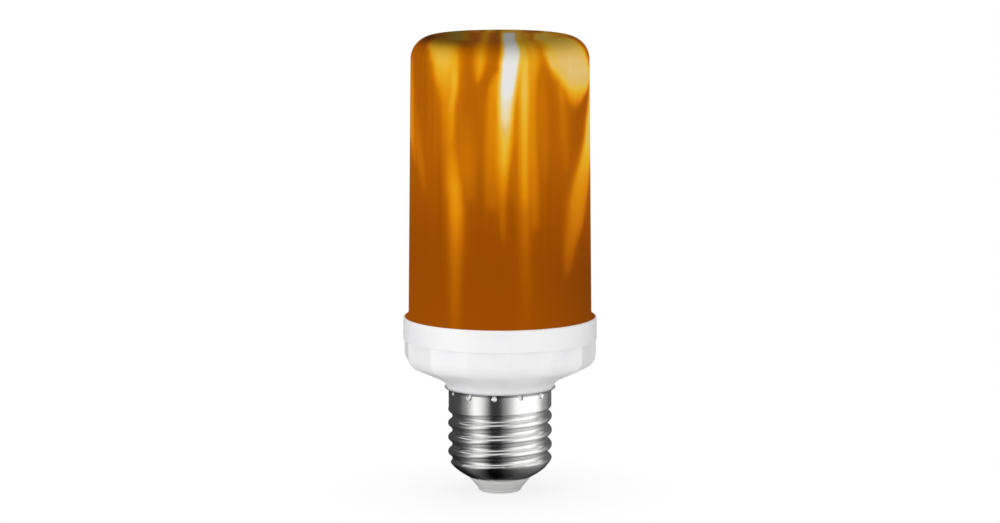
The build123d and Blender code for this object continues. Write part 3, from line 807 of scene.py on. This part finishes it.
# %% Recipe for plain finishes
def plain_finish(name, dark, light, roughness, grain, metallic=0.0):
    """Material whose colour goes between two tones and whose gloss varies with a grain size."""
    material, tree = new_tree(name)
    place = add_node(tree, "ShaderNodeTexCoord").outputs["Object"]
    spots = add_node(tree, "ShaderNodeTexNoise", {"Vector": place, "Scale": 1 / grain, "Detail": 3.0})
    tone = add_node(tree, "ShaderNodeValToRGB", {"Fac": spots.outputs["Fac"]})
    set_ramp(tone, [(0.3, dark), (0.7, light)])
    shine = add_node(tree, "ShaderNodeMapRange", {
        "Value": spots.outputs["Fac"], "To Min": roughness - 0.05, "To Max": roughness + 0.05})
    bump = add_node(tree, "ShaderNodeBump", {
        "Height": spots.outputs["Fac"], "Strength": 0.1, "Distance": grain / 20})
    shader = add_node(tree, "ShaderNodeBsdfPrincipled", {
        "Base Color": tone.outputs["Color"], "Metallic": metallic,
        "Roughness": shine.outputs["Result"], "Normal": bump.outputs["Normal"]})
    add_node(tree, "ShaderNodeOutputMaterial", {"Surface": shader.outputs["BSDF"]})
    return material


finishes = {
    "housing_collar": white,
    "cap_insulator": plain_finish("moulded phenolic, matt grey", "#DADAD9", "#E1E1E0", 0.5, 0.6 * mm),
    "centre_contact": plain_finish("nickel plated brass, pressed", "#C6C2BA", "#D2CEC6", 0.25, 0.4 * mm, 1.0),
    "lamp_core": plain_finish("moulded nylon, off white", "#DCDAD4", "#E4E2DC", 0.5, 1.0 * mm),
    "driver_board": plain_finish("glass fibre board, green lacquer", "#1C5A34", "#246A3E", 0.35, 0.5 * mm),
    "bulk_capacitor": plain_finish("shrunk sleeve, blue black", "#14181E", "#1C2129", 0.3, 1.0 * mm),
    "fuse_resistor": plain_finish("flameproof lacquer, green", "#3E7A5C", "#478566", 0.55, 0.3 * mm),
    "film_capacitor": plain_finish("moulded box, ochre", "#C09A2C", "#CCA636", 0.35, 0.8 * mm),
    "power_inductor": plain_finish("enamelled copper wire", "#8A4A20", "#9C5828", 0.35, 0.25 * mm),
    "board_screws": plain_finish("zinc plated steel", "#B4B6B8", "#C2C4C6", 0.3, 0.3 * mm, 1.0),
}
board = plain_finish("circuit board, white solder mask", "#E6E6E2", "#EEEEEA", 0.4, 0.5 * mm)
phosphor = plain_finish("diode package, yellow phosphor", "#E2B83A", "#ECC54A", 0.35, 0.3 * mm)
epoxy = plain_finish("moulded epoxy, black", "#1B1B1C", "#232324", 0.5, 0.4 * mm)
red_lead = plain_finish("lead insulation, red", "#B02A22", "#BC342C", 0.4, 0.5 * mm)
black_lead = plain_finish("lead insulation, black", "#1C1C1D", "#262627", 0.4, 0.5 * mm)
finishes.update(dict.fromkeys(["base_board", "led_sleeve", "top_led_board"], board))
finishes.update(dict.fromkeys(["side_leds", "top_leds"], phosphor))
finishes.update(dict.fromkeys(["flame_chip", "bridge_rectifier", "control_chip"], epoxy))
finishes.update(dict.fromkeys(["contact_lead", "supply_lead_right"], red_lead))
finishes.update(dict.fromkeys(["shell_lead", "supply_lead_left"], black_lead))

# %% [markdown]
# A CAD node keeps its mesh. Only its material is exchanged, and several nodes may share one.

# %% Give the CAD nodes their finishes
for name, material in finishes.items():
    mesh = nodes[name].data
    mesh.materials.clear()
    mesh.materials.append(material)
print("finished CAD nodes:", len(finishes))

# %% [markdown]
# ## Floor and room
#
# The floor is a pale disc. The camera, mirrors and glass see it and the room behind as white.
# Near the lamp some of the floor's own shading stays, which is where its soft shadow shows.

# %% Floor and world
def seen_directly(tree):
    """1 for camera, glossy and transmission rays, 0 for rays that light the scene."""
    path = add_node(tree, "ShaderNodeLightPath")
    seen = path.outputs["Is Camera Ray"]
    for name in ("Is Glossy Ray", "Is Transmission Ray"):
        either = {0: seen, 1: path.outputs[name]}
        seen = add_node(tree, "ShaderNodeMath", either, operation="MAXIMUM").outputs[0]
    return seen


room_light = 0.79
white_share, shadow_inside, shadow_outside = 0.79, 6 * mm, 55 * mm
floor_radius, floor_corners = 1.5, 96
floor_turn = np.linspace(0, 2 * math.pi, floor_corners, endpoint=False)
floor_mesh = bpy.data.meshes.new("floor")
rim = floor_radius * np.stack([np.cos(floor_turn), np.sin(floor_turn), 0 * floor_turn], -1)
floor_mesh.from_pydata(rim.tolist(), [], [list(range(floor_corners))])
floor = bpy.data.objects.new("floor", floor_mesh)
bpy.context.scene.collection.objects.link(floor)

paper, tree = new_tree("paper floor, white")
place = add_node(tree, "ShaderNodeTexCoord").outputs["Object"]
distance = add_node(tree, "ShaderNodeVectorMath", {0: place}, operation="LENGTH").outputs["Value"]
clear = add_node(tree, "ShaderNodeMapRange", {
    "Value": distance, "From Min": shadow_inside, "From Max": shadow_outside,
    "To Min": white_share, "To Max": 1.0}, interpolation_type="SMOOTHSTEP")
both = {0: seen_directly(tree), 1: clear.outputs["Result"]}
share = add_node(tree, "ShaderNodeMath", both, operation="MULTIPLY")
matt = add_node(tree, "ShaderNodeBsdfDiffuse", {"Color": linear("#FBFBFB")})
bright = add_node(tree, "ShaderNodeEmission", {"Strength": 1.0})
mix = add_node(tree, "ShaderNodeMixShader", {0: share.outputs[0], 1: matt.outputs[0], 2: bright.outputs[0]})
add_node(tree, "ShaderNodeOutputMaterial", {"Surface": mix.outputs[0]})
floor_mesh.materials.append(paper)

world = bpy.data.worlds.new("white room")
world.use_nodes = True
world.node_tree.nodes.clear()
tree = world.node_tree
room_strength = add_node(tree, "ShaderNodeMapRange", {
    "Value": seen_directly(tree), "To Min": room_light, "To Max": 1.0})
background = add_node(tree, "ShaderNodeBackground", {
    "Color": (1, 1, 1, 1), "Strength": room_strength.outputs["Result"]})
add_node(tree, "ShaderNodeOutputWorld", {"Surface": background.outputs[0]})
bpy.context.scene.world = world
print("room light:", room_light, "floor radius:", floor_radius, "m")

# %% [markdown]
# ## Lamps
#
# A large soft lamp in front, a little to the left, gives the plastic its shape, and a weak one
# far on the left lifts that edge. A third one from above lights the floor, which throws that
# light up at the underside of the housing. Glossy rays don't see the lamps, because the metal
# gets surroundings of its own below.

# %% Lamps
lamp_distance, lamp_size, lamp_aim = 1.2, 0.7, 60 * mm


def soft_lamp(name, turn, elevation, power):
    """Square area lamp at degrees round from the front, turned to the middle of the bulb."""
    light = bpy.data.lights.new(name, "AREA")
    light.size, light.energy = lamp_size, power
    lamp = bpy.data.objects.new(name, light)
    a, e = math.radians(turn), math.radians(elevation)
    back = np.array([math.sin(a) * math.cos(e), -math.cos(a) * math.cos(e), math.sin(e)])
    lamp.location = tuple(back * lamp_distance + [0, 0, lamp_aim])
    lamp.rotation_euler = (math.pi / 2 - e, 0, a)
    lamp.visible_glossy = False
    bpy.context.scene.collection.objects.link(lamp)
    print("lamp:", name, power, "W")


soft_lamp("key", -25, 14, 2.3)
soft_lamp("left", -80, 14, 0.6)
soft_lamp("top", -15, 62, 1.4)

# %% [markdown]
# ## A tent for the metal
#
# A bright metal shows only what it mirrors. A photographer sets strips of dark and pale paper
# round it, and here one tent does that: a disc on the floor that turns up into a wall, whose
# brightness changes round the lamp. Under the cap it is dim, so that the cone of the shell and
# the lower side of each turn mirror something dark. Only glossy rays see the tent, so it throws
# no light.

# %% Tent
# Brightness by degrees round from the front, positive to the right
tent_stops = [(-180, 0.06), (-98, 0.08), (-76, 0.40), (-58, 1.35), (-44, 1.30), (-20, 0.03), (0, 0.05),
              (20, 0.62), (36, 1.35), (60, 1.60), (84, 1.50), (108, 0.50), (132, 0.18), (180, 0.08)]
# The dimming near the axis: by distance from it in metres
dim_distances, dim_levels = [0, 9 * mm, 16 * mm, 32 * mm, 70 * mm], [0.03, 0.05, 0.16, 0.50, 1.0]
tent_floor = 0.5 * mm
tent_corners = [(4 * mm, tent_floor), (0.1, tent_floor), (0.9, tent_floor), (0.95, 0.8)]
runs = zip(tent_corners, tent_corners[1:], (20, 10, 8))
tent_path = np.concatenate([line(start, stop, count) for start, stop, count in runs])
tent_turn = np.radians(np.arange(0, 360, 2))
x = tent_path[:, :1] * np.sin(tent_turn)
y = -tent_path[:, :1] * np.cos(tent_turn)
z = np.broadcast_to(tent_path[:, 1:], x.shape)
index = np.arange(x.size).reshape(x.shape)
quads = grid_faces(index[:-1], index[1:])
tent_mesh = bpy.data.meshes.new("tent")
tent_mesh.from_pydata(np.stack([x, y, z], -1).reshape(-1, 3).tolist(), [], quads.tolist())
degrees = (np.degrees(tent_turn) + 180) % 360 - 180
level = np.interp(degrees, *np.array(tent_stops).T)
level = level * np.interp(tent_path[:, :1], dim_distances, dim_levels)
level = level.ravel().astype(np.float32)
tent_mesh.attributes.new("level", "FLOAT", "POINT").data.foreach_set("value", level)
print("tent faces:", len(tent_mesh.polygons))

cloth, tree = new_tree("tent paper, grey bands")
brightness = add_node(tree, "ShaderNodeAttribute", attribute_name="level").outputs["Fac"]
glow = add_node(tree, "ShaderNodeEmission", {"Strength": brightness})
add_node(tree, "ShaderNodeOutputMaterial", {"Surface": glow.outputs[0]})
tent_mesh.materials.append(cloth)

card = bpy.data.objects.new("tent", tent_mesh)
bpy.context.scene.collection.objects.link(card)
card.visible_camera = card.visible_diffuse = card.visible_shadow = card.visible_transmission = False
